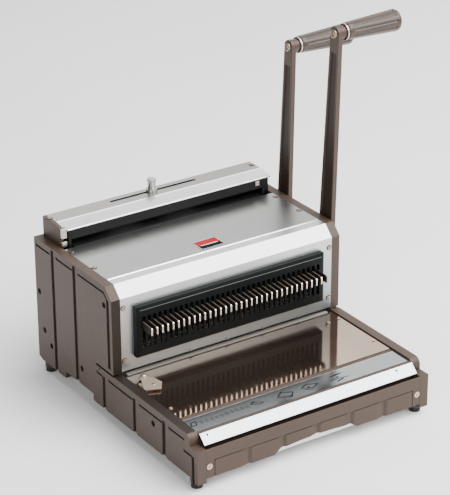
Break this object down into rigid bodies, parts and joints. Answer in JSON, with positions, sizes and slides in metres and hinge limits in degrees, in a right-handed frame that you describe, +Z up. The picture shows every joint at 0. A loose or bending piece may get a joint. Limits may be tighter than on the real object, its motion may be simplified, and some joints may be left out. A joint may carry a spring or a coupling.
{
  "type": "wire punching and closing machine",
  "caption": "Desktop twin-loop wire binding machine: punch lever, wire closer lever, hook rack, paper table and slide-out waste drawer.",
  "frame": {"origin": "centre of the four feet, on the plane they stand on", "axes": "+X to the right as the user faces the machine, +Y to the rear, +Z up"},
  "size_m": [0.4834, 0.4178, 0.4991],
  "materials": {
    "brown_paint": "semi-gloss metallic taupe powder paint",
    "dark_paint": "semi-gloss dark paint",
    "lever_paint": "semi-gloss metallic taupe paint",
    "brushed_panel": "brushed along the width",
    "closer_aluminium": "satin brushed",
    "black_plastic": "semi-matte moulded",
    "hook_steel": "stamped, bright tips",
    "tool_steel": "ground",
    "zinc_steel": "zinc plated",
    "spring_steel": "drawn wire",
    "mirror_steel": "polished bronze-toned",
    "label_film": "printed satin film",
    "bright_trim": "polished",
    "bush_brass": "machined",
    "pale_screws": "zinc plated",
    "dark_screws": "blackened",
    "foot_rubber": "matte",
    "grip_plastic": "glossy taupe brown",
    "jaw_black": "black satin",
    "badge_enamel": "printed enamel",
    "guide_bronze": "satin bronze"
  },
  "bodies": {
    "casing": {"left_side_plate": "brown_paint", "right_side_plate": "brown_paint", "base_pan": "zinc_steel", "front_panel": "brown_paint", "rear_cover": "brown_paint", "front_sheet": "brushed_panel", "top_cover": "brushed_panel", "badge": "badge_enamel", "hook_frame": "black_plastic", "wire_hooks": "hook_steel", "hook_rack_bar": "jaw_black", "paper_table": "brown_paint", "mirror_panel": "mirror_steel", "instruction_label": "label_film", "table_trim": "bright_trim", "paper_rail": "bright_trim", "punch_die": "tool_steel", "guide_plate": "tool_steel", "paper_stop": "tool_steel", "closer_cover": "closer_aluminium", "closer_bracket_left": "brown_paint", "closer_bracket_right": "dark_paint", "closer_lower_jaw": "jaw_black", "shaft_bushes": "bush_brass", "tie_rods": "zinc_steel", "drawer_rails": "zinc_steel", "side_screws": "dark_screws", "cover_screws": "pale_screws", "panel_screws": "pale_screws", "closer_screws": "pale_screws", "table_screws": "pale_screws", "rubber_feet": "foot_rubber", "punch_springs": "spring_steel", "closing_springs": "spring_steel", "jaw_stops": "zinc_steel"},
    "punch_lever": {"punch_lever": "lever_paint", "punch_shaft": "zinc_steel", "punch_cams": "tool_steel", "punch_spindle": "lever_paint", "punch_nut": "pale_screws"},
    "punch_grip": {"punch_grip": "grip_plastic"},
    "punch_bar": {"punch_bar": "tool_steel", "punch_yokes": "tool_steel", "punch_pins": "tool_steel"},
    "closing_lever": {"closing_lever": "lever_paint", "closing_shaft": "zinc_steel", "closing_cranks": "tool_steel", "closing_spindle": "lever_paint", "closing_nut": "pale_screws"},
    "closing_grip": {"closing_grip": "grip_plastic"},
    "upper_jaw": {"upper_jaw": "jaw_black", "jaw_end": "zinc_steel", "pull_rods": "jaw_black"},
    "waste_drawer": {"waste_tray": "zinc_steel", "drawer_front": "brown_paint"},
    "size_slider": {"slider_block": "tool_steel", "slider_collar": "bright_trim"},
    "size_knob": {"slider_knob": "bright_trim"},
    "edge_guide": {"edge_guide": "guide_bronze", "guide_fittings": "pale_screws"}
  },
  "joints": [
    {"name": "punch_lever_hinge", "type": "hinge", "parent": "casing", "child": "punch_lever", "pos_m": [0, 0.0395, 0.124], "axis": [1, 0, 0], "range_deg": [0, 80], "stiffness_Nm_per_rad": 1.2, "springref_deg": -68.75},
    {"name": "punch_grip_spin", "type": "hinge", "parent": "punch_lever", "child": "punch_grip", "pos_m": [0.25, 0.02129, 0.48354], "axis": [1, 0, 0], "continuous": true},
    {"name": "punch_bar_slide", "type": "slide", "parent": "casing", "child": "punch_bar", "axis": [0, 0, -1], "range_m": [0, 0.0092], "deforming": ["punch_springs"]},
    {"name": "closing_lever_hinge", "type": "hinge", "parent": "casing", "child": "closing_lever", "pos_m": [0, 0.1456, 0.073], "axis": [1, 0, 0], "range_deg": [0, 12], "stiffness_Nm_per_rad": 1.5, "springref_deg": -45.84},
    {"name": "closing_grip_spin", "type": "hinge", "parent": "closing_lever", "child": "closing_grip", "pos_m": [0.25, 0.1299, 0.43266], "axis": [1, 0, 0], "continuous": true},
    {"name": "upper_jaw_slide", "type": "slide", "parent": "casing", "child": "upper_jaw", "axis": [0, 0, -1], "range_m": [0, 0.0072], "deforming": ["closing_springs"]},
    {"name": "drawer_slide", "type": "slide", "parent": "casing", "child": "waste_drawer", "axis": [0, -1, 0], "range_m": [0, 0.12]},
    {"name": "size_slider_slide", "type": "slide", "parent": "casing", "child": "size_slider", "axis": [1, 0, 0], "range_m": [-0.062, 0.064]},
    {"name": "size_knob_turn", "type": "hinge", "parent": "size_slider", "child": "size_knob", "pos_m": [-0.0028, 0.195, 0.24], "axis": [0, 0, 1], "range_deg": [-180, 180]},
    {"name": "edge_guide_slide", "type": "slide", "parent": "casing", "child": "edge_guide", "axis": [1, 0, 0], "range_m": [0, 0.025]}
  ],
  "couplings": [
    {"joint": "punch_bar_slide", "follows": "punch_lever_hinge", "m_per_rad": 0.006446},
    {"joint": "upper_jaw_slide", "follows": "closing_lever_hinge", "m_per_rad": 0.033423}
  ]
}
